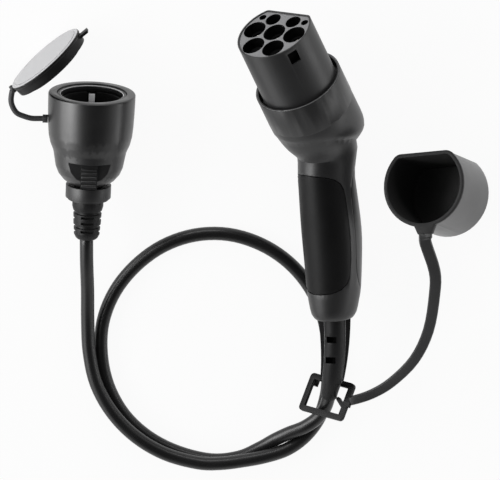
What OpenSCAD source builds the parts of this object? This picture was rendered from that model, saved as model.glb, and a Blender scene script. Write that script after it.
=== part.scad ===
// Charging adapter: a bent seven-chamber connector, a cable and a round two-pin socket coupler.
// Millimetres, +Z up. The adapter lies on the plane z = 0, with the origin below its middle.

/* [Connector nose] */
// Radius of the round side of the nose
nose_r = 27.5; // [26.5:0.1:28.5]
// Distance from the nose axis to its flat
nose_flat = 20.2; // [19:0.1:21.5]
// Radius of the two corners beside the flat
nose_corner = 4; // [2:0.5:6]
// Wall of the nose sleeve
sleeve_wall = 1.2; // [1:0.1:1.5]
// How far the nose stands out of the head
nose_reach = 47.2; // [42:0.2:50]
// Depth of the seven chambers
chamber_depth = 36; // [32:0.5:40]
// Radius of a power chamber
power_chamber_r = 8.1; // [7.6:0.05:8.2]
// Radius of a signal chamber
signal_chamber_r = 5.6; // [5.2:0.1:5.7]
// Bore radius of a power contact
power_bore_r = 3; // [2.8:0.05:3.2]
// Bore radius of a signal contact
signal_bore_r = 1.5; // [1.3:0.05:1.7]
// How far the contact towers stop behind the face
tower_recess = 7; // [5:0.5:10]

/* [Head] */
// Radius of the head at its rim
head_r = 31.5; // [31:0.1:34]
// Wall of the rim
rim_wall = 1.8; // [1.4:0.1:2]
// Depth of the ring slot between rim and nose
rim_depth = 10; // [8:0.5:12]
// Distance from the bend to the rim
head_len = 64.5; // [62:0.5:70]

/* [Handle] */
// Angle between handle and nose
bend = 30; // [24:1:34]
// Distance from the bend to the cable end
handle_len = 121; // [115:1:140]
// Width of the handle at the grip
grip_w = 41.4; // [38:0.2:44]
// Height of the handle at the grip
grip_h = 44.4; // [42:0.2:48]
// Wall of the handle
handle_wall = 4.4; // [4:0.1:5]
// Depth of the seats for the pad and the cover
inlay_depth = 1.8; // [1.4:0.1:2.2]
// Width of the groove round the pad and the cover
inlay_gap = 0.5; // [0.3:0.05:0.8]

/* [Cable] */
// Diameter of the cable
cable_d = 9.6; // [8.8:0.1:9.7]
// Diameter of the strain relief at the handle
boot_d = 16; // [14:0.2:17]

/* [Coupler] */
// Outer diameter of the coupler at its rim
coupler_d = 61.5; // [60:0.5:66]
// Inner diameter of the coupler's mouth
mouth_d = 49.5; // [47:0.5:51]
// Diameter of the round well that takes a plug
well_d = 39.5; // [39:0.1:40.5]
// Depth of the well
well_depth = 17.5; // [17:0.1:19]
// Distance between the two contact holes
pin_pitch = 19; // [18.6:0.1:19.4]
// Bore radius of a socket contact
pin_bore_r = 2.4; // [2.2:0.05:2.6]
// Length of the coupler's housing
coupler_len = 70; // [66:0.5:78]
// Outer diameter of the gland collar
collar_d = 32; // [28:0.5:34]

/* [Lid] */
// Thickness of the lid at its edge
lid_edge = 9; // [7:0.5:11]
// Radius of the round lid strap
lid_strap_r = 2; // [1.6:0.1:2.4]

/* [Nose cap] */
// Clearance between cap and nose
cap_clearance = 0.3; // [0.1:0.05:0.6]
// Wall of the cap
cap_wall = 2; // [1.5:0.1:2.5]
// Depth of the cap
cap_depth = 50; // [46:0.5:54]
// Width of the flat strap
strap_w = 8.2; // [7:0.1:9.5]
// Thickness of the flat strap
strap_t = 3; // [2.4:0.1:3.4]
// Thickness of the bars of the cable clip
clip_bar = 4.2; // [3.6:0.1:5]

/* [Hidden] */
$fn = 48;
fit_gap = 0.2;

// Places of the four groups, before the whole is moved over the origin
centre_shift = [0.9, -29.2, 0];
gun_turn = [-63.2, -38.1, 5];
coupler_at = [-111.2, 116.6, coupler_d / 2];
coupler_turn = [90, 0, 177.8];
lid_at = [-144.9, 142.4, coupler_d / 2];
lid_turn = [90, 0, 221];
cap_at = [122.1, 57, 56.8];
cap_turn = [-28.4, -20.4, 11.6];
clip_at = [54.7, -109.7, 20.6];
clip_turn = [-29, -36.5, -4];

// Stations along the nose axis, measured from the bend
face_z = head_len + nose_reach;
slot_z = head_len - rim_depth;
flange_t = 3;
sleeve_seat_z = slot_z - flange_t;
core_r = 25.4;
core_z = 34;
retainer_t = 3;
block_back_z = core_z + retainer_t;
chamber_z = face_z - chamber_depth;
tower_z = face_z - tower_recess;

// Contact places on the face, seen from the front with the flat upwards
power_pitch = 17.5;
lower_row = [8.7, -15.3];
signal_row = [8.9, 12.2];
power_used = [[0, 0], [-power_pitch, 0], [power_pitch, 0]];
power_all = concat(power_used, [[-lower_row.x, lower_row.y], [lower_row.x, lower_row.y]]);
signal_all = [[-signal_row.x, signal_row.y], [signal_row.x, signal_row.y]];
contact_wall = 0.95;
tower_wall = 1.7;
collar_t = 4;

// Half sizes of the handle at stations along it: [station, side, thumb, finger, widest level].
// A station below zero lies in the head, where the sections run into its cylinder.
gw = grip_w / 2;
gh = grip_h / 2;
coarse = [
    [-0.66 * head_len, 0.985 * head_r, 0.6 * head_r, 0.985 * head_r, 0],
    [-0.52 * head_len, 0.975 * head_r, 0.6 * head_r, 0.975 * head_r, 0],
    [-0.36 * head_len, 0.91 * head_r, 0.58 * head_r, 0.93 * head_r, 0],
    [-0.22 * head_len, 0.81 * head_r, 0.56 * head_r, 0.875 * head_r, 0],
    [-0.08 * head_len, 1.08 * gw, 0.83 * gh, 1.19 * gh, -1],
    [0.05 * handle_len, 0.98 * gw, 0.76 * gh, 1.19 * gh, -3],
    [0.13 * handle_len, 0.95 * gw, 0.69 * gh, 1.22 * gh, -5.5],
    [0.2 * handle_len, 0.95 * gw, 0.7 * gh, 1.21 * gh, -5.5],
    [0.35 * handle_len, 0.985 * gw, 0.79 * gh, 1.18 * gh, -4.3],
    [0.5 * handle_len, gw, 0.855 * gh, 1.145 * gh, -3.2],
    [0.64 * handle_len, 0.966 * gw, 0.82 * gh, 1.11 * gh, -3.2],
    [0.82 * handle_len, 0.908 * gw, 0.73 * gh, 1.08 * gh, -4.2],
    [0.9 * handle_len, 0.836 * gw, 0.64 * gh, 1.055 * gh, -5],
    [0.97 * handle_len, 0.745 * gw, 0.52 * gh, 1.005 * gh, -5.2],
    [handle_len, 0.63 * gw, 0.38 * gh, 0.88 * gh, -5.2]
];
boot_level = -5.2;

// The handles cable end keeps its place, and the bend moves with the handles length
handle_end_at = [59.66, -46.7, 34.5];
gun_at = handle_end_at - turned(handle_point(handle_len, 0, boot_level));

// Curves and lofts
function mix(a, b, t) = a + (b - a) * t;
function ease(t) = let (u = min(1, max(0, t))) u * u * (3 - 2 * u);
function unit(v) = v / norm(v);
function catmull(a, b, c, d, t) =
    0.5 * (2 * b + (c - a) * t + (2 * a - 5 * b + 4 * c - d) * t * t + (3 * b - a - 3 * c + d) * t * t * t);
function spline(p, n) =
    let (last = len(p) - 1)
    concat(
        [for (i = [0:last - 1], j = [0:n - 1])
            catmull(p[max(i - 1, 0)], p[i], p[i + 1], p[min(i + 2, last)], j / n)],
        [p[last]]
    );

// Closed solid through rings of equal length, each ring anticlockwise about the way ahead
module loft(rings) {
    n = len(rings[0]);
    last = len(rings) - 1;
    polyhedron(
        points = [for (r = rings, p = r) p],
        faces = concat(
            [[for (i = [0:n - 1]) i]],
            [for (k = [0:last - 1], i = [0:n - 1]) let (a = k * n, b = a + n, j = (i + 1) % n)
                [a + i, b + i, b + j]],
            [for (k = [0:last - 1], i = [0:n - 1]) let (a = k * n, b = a + n, j = (i + 1) % n)
                [a + i, b + j, a + j]],
            [[for (i = [0:n - 1]) last * n + n - 1 - i]]
        )
    );
}

// Rings of an outline carried along a path; the outline's y keeps as close to up as it can
function carried(path, outline, up = [0, 0, 1]) =
    let (last = len(path) - 1)
    [for (i = [0:last])
        let (
            ahead = unit(path[min(i + 1, last)] - path[max(i - 1, 0)]),
            side = unit(cross(up, ahead)),
            top = cross(ahead, side)
        )
        [for (q = outline(i / last)) path[i] + side * q.x + top * q.y]];
function circle_outline(r, sides) = [for (i = [0:sides - 1]) r * [cos(360 * i / sides), sin(360 * i / sides)]];

// D-shaped outline with round corners beside the flat
function d_outline(r, flat, corner, steps = 36) =
    let (
        up = flat - corner,
        out = sqrt((r - corner) * (r - corner) - up * up),
        a = atan2(up, out)
    )
    concat(
        [for (i = [0:3]) let (t = mix(90, a, i / 4)) [out + corner * cos(t), up + corner * sin(t)]],
        [for (i = [0:steps]) let (t = mix(a, -180 - a, i / steps)) r * [cos(t), sin(t)]],
        [for (i = [0:3]) let (t = mix(180 - a, 90, (i + 1) / 4)) [corner * cos(t) - out, up + corner * sin(t)]]
    );
function at_height(outline, z) = [for (i = [len(outline) - 1:-1:0]) [outline[i].x, outline[i].y, z]];

module in_place() { translate(centre_shift) children(); }
module in_gun() { in_place() translate(gun_at) rotate(gun_turn) children(); }
module in_coupler() { in_place() translate(coupler_at) rotate(coupler_turn) children(); }
module in_lid() { in_place() translate(lid_at) rotate(lid_turn) children(); }
module in_cap() { in_place() translate(cap_at) rotate(cap_turn) children(); }
module tube(outer_r, inner_r, from, to) {
    difference() {
        translate([0, 0, from]) cylinder(r = outer_r, h = to - from);
        translate([0, 0, from - 1]) cylinder(r = inner_r, h = to - from + 2);
    }
}
module rod(r, from, to) { translate([0, 0, from]) cylinder(r = r, h = to - from); }

// Handle surface: a point at a station, at an angle from the finger side, pushed out by a distance
fine = spline(coarse, 2);
function column(k) = [for (row = fine) [row[0], row[k]]];
side_by = column(1);
thumb_by = column(2);
finger_by = column(3);
level_by = column(4);
function lean(s) = bend * ease((s + 25) / 40);
function axis_point(s) = s < 0 ? [0, 0, -s] : -s * [0, sin(bend), cos(bend)];
function skin(s, angle, out) =
    let (
        level = lookup(s, level_by),
        reach = cos(angle) > 0 ? -(lookup(s, finger_by) + level + out) : lookup(s, thumb_by) - level + out,
        h = level + reach * abs(cos(angle)),
        t = lean(s)
    )
    axis_point(s) + [(lookup(s, side_by) + out) * sin(angle), h * cos(t), -h * sin(t)];
module handle_form(from, to, out, sides) {
    picks = [for (row = fine) if (row[0] > from + 1 && row[0] < to - 1) row[0]];
    stations = concat([from], picks, [to]);
    loft([for (s = stations) [for (i = [0:sides - 1]) skin(s, -360 * i / sides, out)]]);
}

// Patch of the handle's skin between two depths, with an outline that closes at both stations
function patch_angle(s, from, to, half, corners) =
    let (t = 2 * (s - from) / (to - from) - 1) half * pow(max(0, 1 - pow(abs(t), corners)), 0.5);
module patch(from, to, middle, half, corners, low, high, shrink, columns = 14, rows = 18) {
    a = from + shrink;
    b = to - shrink;
    radius = (gw + gh) / 2;
    ring = 2 * (columns + 1);
    loft([for (k = [0:rows])
        let (
            s = (a + b) / 2 - (b - a) / 2 * cos(180 * (k + 0.35) / (rows + 0.7)),
            w = max(0.5, patch_angle(s, a, b, half, corners) - shrink / radius * 57.3)
        )
        concat(
            [for (i = [0:columns]) skin(s, middle + w * (1 - 2 * i / columns), high)],
            [for (i = [0:columns]) skin(s, middle - w * (1 - 2 * i / columns), low)]
        )]);
}
pad_from = 0.11 * handle_len;
pad_to = 0.835 * handle_len;
pad_half = 78;
cover_from = 0.06 * handle_len;
cover_to = 0.886 * handle_len;
cover_half = 88;
module pad_patch(low, high, shrink) { patch(pad_from, pad_to, 0, pad_half, 9, low, high, shrink); }
module cover_patch(low, high, shrink) {
    patch(cover_from, cover_to, 180, cover_half, 5, low, high, shrink);
}

// The head's rear bulb hangs over the thumb side: [thumb y, z, finger y, z] of each section
bulb = [
    [0.985 * head_r, 46, -0.985 * head_r, 46],
    [0.996 * head_r, 38, -0.996 * head_r, 39],
    [head_r, 24, -0.99 * head_r, 35],
    [head_r, 13, -0.95 * head_r, 32],
    [0.95 * head_r, 4.5, -0.86 * head_r, 28],
    [0.81 * head_r, -1.5, -0.7 * head_r, 23],
    [0.56 * head_r, -7, -0.42 * head_r, 14],
    [0.25 * head_r, -9.5, -0.06 * head_r, 3]
];
module head_bulb() {
    rows = spline(bulb, 2);
    loft([for (k = [len(rows) - 1:-1:0])
        let (
            q = rows[k],
            mid = [0, q[0] + q[2], q[1] + q[3]] / 2,
            half = [0, q[0] - q[2], q[1] - q[3]] / 2,
            w = min(head_r * 0.998, (q[0] - q[2]) / 2)
        )
        [for (i = [0:39]) mid + half * sin(9 * i) + [w * cos(9 * i), 0, 0]]]);
}

module handle_housing() {
    color("#47484b") in_gun() {
        difference() {
            union() {
                rod(head_r, 40, head_len);
                head_bulb();
                handle_form(-0.6 * head_len, handle_len, 0, 40);
            }
            rod(head_r - rim_wall, sleeve_seat_z, head_len + 1);
            rod(core_r, core_z, head_len);
            rod(core_r - 6, core_z - 10, core_z + 1);
            handle_form(-core_z - 4, 0.9 * handle_len, -handle_wall, 20);
            handle_end() rod(boot_d / 2 + 0.1, -20, 10);
            pad_patch(-inlay_depth, 4, 0);
            cover_patch(-inlay_depth, 4, 0);
        }
    }
}
// Frame at the handle's cable end, with +Z out along the cable
module handle_end() {
    translate(axis_point(handle_len)) rotate([180 - bend, 0, 0]) translate([0, -boot_level, 0]) children();
}
module handle_cover() {
    color("#4d4e51") in_gun() cover_patch(0.3 - inlay_depth, 0, inlay_gap);
}
module grip_pad() {
    color("#1f1f20") in_gun() pad_patch(0.4 - inlay_depth, 0.1, inlay_gap);
}

module d_prism(r, flat, corner, from, to) {
    translate([0, 0, from]) linear_extrude(to - from) polygon(d_outline(r, flat, corner));
}
module lock_window(depth) {
    rotate([0, 0, -31]) translate([nose_r - depth, -3.8, face_z - 13.5]) cube([depth + 2, 7.6, 10]);
}
module nose_sleeve() {
    color("#3c3d40") in_gun() difference() {
        union() {
            d_prism(nose_r, nose_flat, nose_corner, slot_z - 1, face_z);
            rod(head_r - rim_wall - fit_gap, sleeve_seat_z, slot_z);
        }
        d_prism(nose_r - sleeve_wall, nose_flat - sleeve_wall, carrier_corner, sleeve_seat_z - 1, face_z + 1);
        lock_window(sleeve_wall + 1);
    }
}
module at_each(places) { for (p = places) translate([p.x, p.y, 0]) children(); }
module contact_hole(bore_r) {
    shell_r = bore_r + contact_wall + 0.05;
    rod(shell_r, block_back_z - 1, tower_z - 1.2);
    rod(bore_r + 0.3, tower_z - 2, tower_z + 1);
    rod(shell_r + 1.1, block_back_z - 1, block_back_z + 2 * collar_t);
}
// D-shaped block inside the sleeve, and the openings that run back from its face
carrier_flat = nose_flat - sleeve_wall - 0.1;
carrier_corner = nose_corner - sleeve_wall;
module carrier_block(from, to) { d_prism(nose_r - sleeve_wall - 0.1, carrier_flat, carrier_corner, from, to); }
module chambers(from) {
    at_each(power_all) rod(power_chamber_r, from, face_z + 1);
    at_each(signal_all) rod(signal_chamber_r, from, face_z + 1);
}
module corner_holes() {
    for (x = [-18.6, 18.6]) translate([x, 13, 0]) rod(2.6, face_z - 8, face_z + 1);
}
face_recess = 0.5;
face_back_z = face_z - face_recess - 3;
module contact_face() {
    color("#8a8b8d") in_gun() difference() {
        carrier_block(face_back_z, face_z - face_recess);
        chambers(face_back_z - 1);
        corner_holes();
    }
}
module contact_insulator() {
    color("#8a8b8d") in_gun() difference() {
        union() {
            difference() {
                union() {
                    carrier_block(sleeve_seat_z, face_back_z);
                    rod(core_r - fit_gap, block_back_z, sleeve_seat_z);
                    d_prism(core_r - fit_gap, carrier_flat, carrier_corner, block_back_z, sleeve_seat_z + 1);
                }
                chambers(chamber_z);
            }
            at_each(power_all) rod(power_bore_r + contact_wall + tower_wall, chamber_z - 1, tower_z);
            at_each(signal_all) rod(signal_bore_r + contact_wall + tower_wall - 0.5, chamber_z - 1, tower_z);
        }
        at_each(power_used) contact_hole(power_bore_r);
        at_each(signal_all) contact_hole(signal_bore_r);
        corner_holes();
        lock_window(3.7);
    }
}
// Turned contact: a socket at the front, a collar and a crimp barrel at the back
module contact(place, bore_r) {
    shell_r = bore_r + contact_wall;
    color("#c9c6bd") in_gun() translate([place.x, place.y, 0]) difference() {
        union() {
            rod(shell_r, block_back_z + collar_t, tower_z - 1.4);
            rod(shell_r + 1, block_back_z + collar_t, block_back_z + 2 * collar_t - 0.1);
            rod(shell_r * 0.8, contact_back, block_back_z + collar_t + 1);
        }
        rod(bore_r, tower_z - 26, tower_z);
        rod(shell_r * 0.5, contact_back - 1, contact_back + 8);
    }
}
module contact_pe() { contact([0, 0], power_bore_r); }
module contact_n() { contact([-power_pitch, 0], power_bore_r); }
module contact_l1() { contact([power_pitch, 0], power_bore_r); }
module contact_cp() { contact([-signal_row.x, signal_row.y], signal_bore_r); }
module contact_pp() { contact([signal_row.x, signal_row.y], signal_bore_r); }

module contact_retainer() {
    color("#2b2b2d") in_gun() difference() {
        union() {
            rod(core_r - fit_gap, core_z, block_back_z);
            at_each(power_used) rod(power_bore_r + contact_wall + 1, core_z, block_back_z + collar_t);
            at_each(signal_all) rod(signal_bore_r + contact_wall + 1, core_z, block_back_z + collar_t);
        }
        at_each(power_used) rod((power_bore_r + contact_wall) * 0.8 + 0.1, core_z - 1, face_z);
        at_each(signal_all) rod((signal_bore_r + contact_wall) * 0.8 + 0.1, core_z - 1, face_z);
    }
}
module nose_seal() {
    color("#171718") in_gun() tube(head_r - rim_wall - 0.2, nose_r + 0.1, slot_z, slot_z + 1.6);
}

// Stripped cable end in the handle, its clamp and the resistor between signal and earth
contact_back = core_z - 7;
wire_r = 1.5;
function handle_point(s, side, h) = axis_point(s) + [side, h * cos(bend), -h * sin(bend)];
module wire(points, up = [0, 1, 0]) {
    loft(carried(spline(points, 2), function(t) circle_outline(wire_r, 8), up));
}
// Core from the cable's stub to the back of a contact; it spreads only behind the contact
module core(from, place) {
    to = [place.x, place.y, contact_back];
    spread = [place.x / 2, place.y / 2, contact_back - 16];
    wire([from, mix(from, spread, 0.5), spread, to - [0, 0, 4], to]);
}
stub_front = handle_len - 33;
module gun_cable_end() {
    color("#2e2e30") in_gun() union() {
        handle_end() rod(cable_d / 2, stub_front - handle_len, -20);
        for (i = [-1:1]) core(handle_point(stub_front + 2, 2.6 * i, boot_level), [i * power_pitch, 0]);
    }
}
clamp_w = 20;
clamp_mid = -27;
clamp_screw_x = 7.2;
module cable_clamp() {
    color("#3a3a3c") in_gun() handle_end() difference() {
        translate([-clamp_w / 2, -1, clamp_mid - 4]) cube([clamp_w, 7.5, 8]);
        rod(cable_d / 2 + 0.1, -40, -10);
        for (x = [-clamp_screw_x, clamp_screw_x]) translate([x, 0, clamp_mid]) rotate([90, 0, 0])
            cylinder(r = 1.7, h = 30, center = true);
    }
}
module clamp_screws() {
    color("#b9bbbd") in_gun() handle_end() for (x = [-clamp_screw_x, clamp_screw_x])
        translate([x, 6.5, clamp_mid]) rotate([90, 0, 0]) {
            rod(1.6, -1, 7.4);
            rod(2.6, -1.6, -0.05);
        }
}
module coding_resistor() {
    color("#c2a46a") in_gun() translate([signal_row.x / 2, signal_row.y / 2 + 1.8, contact_back - 2.2])
        rotate([0, 0, atan2(signal_row.y, signal_row.x)]) rotate([0, 90, 0]) {
            cylinder(r = 1.4, h = 6.5, center = true);
            cylinder(r = 0.4, h = 15, center = true);
        }
}

// Strain relief at the handle, which bends down to the surface that the adapter lies on
boot_len = 61.4;
boot_drop = 14.7;
boot_left = 7;
function turned(p, by = gun_turn) =
    let (
        a = by.x, b = by.y, c = by.z,
        q = [p.x, p.y * cos(a) - p.z * sin(a), p.y * sin(a) + p.z * cos(a)],
        r = [q.x * cos(b) + q.z * sin(b), q.y, q.z * cos(b) - q.x * sin(b)]
    )
    [r.x * cos(c) - r.y * sin(c), r.x * sin(c) + r.y * cos(c), r.z];
boot_ahead = turned([0, sin(bend), cos(bend)]);
function boot_point(t) =
    handle_end_at - t * boot_len * boot_ahead + (t > 0 ? t * t * [-boot_left, 0, -boot_drop] : [0, 0, 0]);
function boot_r(t) =
    t < 0.72 ? boot_d / 2 * (1 - 0.08 * max(t, 0))
    : mix(boot_d / 2 * 0.942, cable_d / 2 + 0.9, ease((t - 0.72) / 0.28));
boot_share = [for (i = [-4:20]) i / 20];
rib_outline = [[-1, -1], [1, -1], [1, 1], [-1, 1]];
rib_half_t = 1.6;
boot_slots = [0.26, 0.525];
slot_left = 6;
slot_w = 4.6;
module gun_boot() {
    color("#2b2b2d") in_place() difference() {
        union() {
            loft(carried(
                [for (t = boot_share) boot_point(t)],
                function(t) circle_outline(boot_r(1.2 * t - 0.2), 24)
            ));
            loft(carried([for (i = [0:8]) boot_point(i / 10 + 0.01)],
                function(t) [for (q = rib_outline) [q.x * mix(1.42, 1.02, t) * boot_d / 2, q.y * rib_half_t]]));
        }
        for (t = boot_slots) translate(boot_point(t)) rotate([mix(-4, -20, t), 0, 0]) for (turn = [0, 180])
            rotate([0, turn, 0]) translate([-slot_left, -slot_w / 2, 1.6]) cube([slot_left + 1, slot_w, 9]);
    }
}

// Cable route: points on its centre line, chosen by hand along the loops that it lies in
cable_route = [
    [53, -118.5, 17.8], [47.25, -127.25, 14.8], [38.25, -134.25, 12.8], [27.5, -139.5, 9.8],
    [17.25, -145.5, 6.6], [7, -152, 5], [-7.75, -158.75, 4.8], [-27.5, -160.75, 4.8], [-51, -155, 4.8],
    [-72.25, -143.75, 4.8], [-89.25, -127.25, 4.8], [-100.5, -106, 4.8], [-105.25, -82.5, 4.8],
    [-104, -58.75, 4.8], [-95.5, -36.5, 4.8], [-80.75, -17.5, 4.8], [-61.5, -3, 4.8], [-39, 5, 4.8],
    [-15.25, 5.5, 4.8], [7.75, -1.75, 4.8], [27.5, -15.25, 4.8], [42.5, -33.75, 4.8], [52, -56, 4.8],
    [55.5, -80, 4.8], [55.5, -96.75, 4.8], [54, -113.25, 4.8], [49, -129.25, 4.8], [39.5, -142.5, 5.7],
    [26.5, -151.25, 9.7], [11, -155.5, 13.7], [-5, -158.25, 15.1], [-21.25, -160.25, 15.2],
    [-37.25, -159.75, 14.9], [-60.25, -153.25, 14.5], [-80.75, -140.75, 14.4], [-97.25, -123.5, 13.7],
    [-108.75, -102.5, 12.1], [-113.75, -79, 11.1], [-114.75, -55.25, 13.2], [-114.75, -32, 19.6],
    [-115.25, -9.5, 27.7]
];
cable_start = boot_point(1);
cable_ahead = unit(boot_point(1) - boot_point(0.95));
function coupler_point(z) = coupler_at + z * [cos(coupler_turn.z - 90), sin(coupler_turn.z - 90), 0];
module main_cable() {
    ahead = cable_start + cable_ahead;
    behind = coupler_point(-coupler_boot_end - 1);
    line = spline(concat([ahead], cable_route, [behind - [0, 4, 0], behind]), 2);
    path = concat([cable_start], line, [coupler_point(-coupler_boot_end)]);
    color("#2f2f31") in_place() loft(carried(path, function(t) circle_outline(cable_d / 2, 10)));
}

// Coupler housing: [distance behind the rim as a share of its length, radius as a share of the rim's]
coupler_r = coupler_d / 2;
coupler_profile = [
    [0, 0.978], [0.012, 1], [0.1, 0.998], [0.22, 0.991], [0.34, 0.978], [0.44, 0.958], [0.52, 0.915],
    [0.6, 0.84], [0.68, 0.806], [0.76, 0.775], [0.83, 0.71], [0.89, 0.6], [0.93, 0.49], [0.96, 0.36]
];
coupler_boot_end = coupler_len + 36.6;
tail_r = 8.5;
insert_r = mouth_d / 2 - 0.2;
insert_front = 5;
insert_back = 40;
pocket_floor = 20;
module coupler_housing() {
    color("#232325") in_coupler() difference() {
        rotate_extrude() polygon(concat(
            [[0, 0]],
            [for (q = coupler_profile) [q[1] * coupler_r, -q[0] * coupler_len]],
            [[tail_r, -0.975 * coupler_len], [tail_r, -coupler_len - 2], [0, -coupler_len - 2]]
        ));
        rod(mouth_d / 2, -insert_back - 2, 1);
        rod(0.55 * coupler_r, -0.84 * coupler_len, 0);
        rod(cable_d / 2 + 0.2, -coupler_len - 3, 0);
        latch_pocket();
    }
}
module latch_pocket() {
    translate([0, pocket_floor, -0.66 * coupler_len]) rotate([-90, 0, 0]) linear_extrude(20) {
        translate([-17, 0]) square([34, 0.12 * coupler_len]);
        translate([0, 0.12 * coupler_len]) intersection() {
            circle(r = 17);
            translate([-17, 0]) square([34, 20]);
        }
    }
}
module latch_tongue() {
    color("#2a2a2c") in_coupler() {
        translate([-5.85, pocket_floor + 0.05, -0.93 * coupler_len + 0.5]) cube([11.7, 1.8, 17.7]);
        for (i = [0:4]) translate([0, pocket_floor + 1.6, -0.89 * coupler_len + 3 * i]) rotate([0, 90, 0])
            cylinder(r = 0.9, h = 10.4, center = true);
    }
}
module mouth_ring() {
    color("#8f9092") in_coupler() tube(mouth_d / 2 - 0.1, well_d / 2 + 2.2, -insert_front + 0.1, -0.8);
}
module socket_insert() {
    floor_z = -insert_front - well_depth;
    color("#1c1c1e") in_coupler() difference() {
        rod(insert_r, -insert_back, -insert_front);
        difference() {
            rod(well_d / 2, floor_z, 1);
            for (x = [-1, 1]) translate([x * (well_d / 2 + 0.6), 0, floor_z])
                cylinder(r = 2.6, h = well_depth - 3);
        }
        for (y = [-1, 1]) translate([-3.2, y * (well_d / 2 + 0.6) - 1.9, -insert_back - 1])
            cube([6.4, 3.8, insert_back + 2]);
        for (x = [-1, 1]) translate([x * pin_pitch / 2, 0, 0]) {
            rod(pin_bore_r + 0.35, -insert_back - 1, 0);
            rod(pin_bore_r + 1.05, -insert_back - 1, floor_z - 2.5);
        }
    }
}
module socket_contact(x) {
    color("#c8a860") in_coupler() translate([x, 0, 0]) difference() {
        rod(pin_bore_r + 1, -insert_back - 4, -insert_front - well_depth - 2.6);
        rod(pin_bore_r, -insert_back + 2, 0);
        rod(1.6, -insert_back - 5, -insert_back);
    }
}
module socket_contact_left() { socket_contact(-pin_pitch / 2); }
module socket_contact_right() { socket_contact(pin_pitch / 2); }
// One sprung strip of metal: two earth clips in the well, joined behind the insert
earth_clip_w = 4.4;
module earth_bracket() {
    r = well_d / 2;
    back = insert_back + 0.3;
    t = 0.9;
    function wall(y) = [[y, -insert_front - 1.5], [y - 1.4, -insert_front - 6], [y - 1.4, -insert_front - 10],
        [y, -insert_front - well_depth], [y, -back]];
    line = wall(r + 0.6);
    color("#d5d6d8") in_coupler() rotate([90, 0, 90]) linear_extrude(earth_clip_w, center = true) polygon(concat(
        line,
        [for (i = [len(line) - 1:-1:0]) [-line[i].x, line[i].y]],
        [for (q = line) [-q.x - t, q.y - (q.y == -back ? t : 0)]],
        [for (i = [len(line) - 1:-1:0]) let (q = line[i]) [q.x + t, q.y - (q.y == -back ? t : 0)]]
    ));
}
module gland_collar() {
    color("#242426") in_coupler() difference() {
        union() {
            rod(collar_d / 2, -coupler_len - 6, -0.955 * coupler_len);
            rod(collar_d / 2 - 1.5, -coupler_len - 7.5, -coupler_len - 5);
        }
        rod(tail_r + 0.1, -coupler_len - 2.1, 0);
        rod(tail_r - 0.4, -coupler_len - 9, 0);
        rod(0.43 * coupler_d / 2, -0.975 * coupler_len - 0.1, 0);
    }
}
module coupler_boot() {
    z = -coupler_len;
    end = -coupler_boot_end;
    color("#262628") in_coupler() difference() {
        rotate_extrude() polygon([[0, z - 2.2], [tail_r - 0.6, z - 2.2], [tail_r - 0.6, z - 7.6], [11, z - 7.6],
            [11, z - 12.5], [10.2, z - 15.4], [8.6, z - 15.8], [8.6, z - 17.4], [10, z - 17.8], [9.7, z - 25.6],
            [8.2, z - 26], [8.2, z - 27.6], [9.4, z - 28], [9.1, z - 33], [7.8, end + 1], [6.6, end], [0, end]]);
        for (d = [21.6, 31], x = [-1, 1]) translate([8.5 * x, 0, z - d]) cube([7, 9, 2.4], center = true);
        for (d = [19.6, 23.8, 30], y = [-1, 1]) translate([0, 9.6 * y, z - d]) cube([9, 5, 1.7], center = true);
    }
}
module coupler_cable_end() {
    top = -insert_back - 4;
    from = -0.76 * coupler_len;
    color("#2e2e30") in_coupler() union() {
        rod(cable_d / 2, -coupler_len - 2.1, from);
        for (x = [-1, 1]) wire([[2 * x, 0, from - 1], [x * pin_pitch / 4, 0, mix(from, top, 0.5)],
            [x * pin_pitch / 2, 0, top - 2], [x * pin_pitch / 2, 0, top]]);
        wire([[0, 2, from - 1], [0, 3, mix(from, top, 0.5)], [0, 4, top], [0, 4, -insert_back - 1.3]]);
    }
}
module coupler_clamp() {
    color("#39393b") in_coupler() difference() {
        rod(0.38 * coupler_r, -0.835 * coupler_len, -0.775 * coupler_len);
        rod(cable_d / 2 + 0.1, -coupler_len, 0);
    }
}

// Lid: outer face at z = 0, spigot towards -Z
module lid() {
    r = coupler_d / 2;
    spigot = mouth_d / 2 - 0.5;
    color("#3a3a3c") in_lid() {
        rotate_extrude() polygon([[0, 0], [r - 3.2, 0], [r - 2.6, -0.6], [r - 0.5, -0.6], [r, -1.1], [r, -2.6],
            [r - 0.6, -3], [r - 1, -lid_edge], [r - 3, -lid_edge], [r - 3, -4], [spigot, -4],
            [spigot - 0.4, -lid_edge - 2], [spigot - 2.2, -lid_edge - 2], [spigot - 2.2, -3], [0, -3]]);
        translate([-r - 5.5, -4, -6]) cube([7, 8, 2]);
    }
}
module lid_gasket() {
    color("#161617") in_lid() tube(coupler_d / 2 - 3.2, mouth_d / 2 - 0.3, -6, -4.05);
}
lid_strap_route = [
    [-167.2, 118.6, 31], [-168.2, 112, 31], [-167.2, 106.8, 31], [-164.2, 102, 31], [-159.7, 99.8, 31],
    [-154.1, 98.1, 31], [-148.4, 97.9, 31], [-145.5, 97.9, 31]
];
module lid_strap() {
    path = spline(lid_strap_route, 4);
    color("#2c2c2e") in_place() union() {
        loft(carried(path, function(t) circle_outline(lid_strap_r, 12)));
        translate([-146, 97.9, 31]) rotate([0, 90, coupler_turn.z - 180]) cylinder(r = 2.9, h = 3.7);
        translate([-167, 119.4, 31]) rotate([0, 90, lid_turn.z - 180]) cylinder(r = 3, h = 2, center = true);
    }
}

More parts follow.
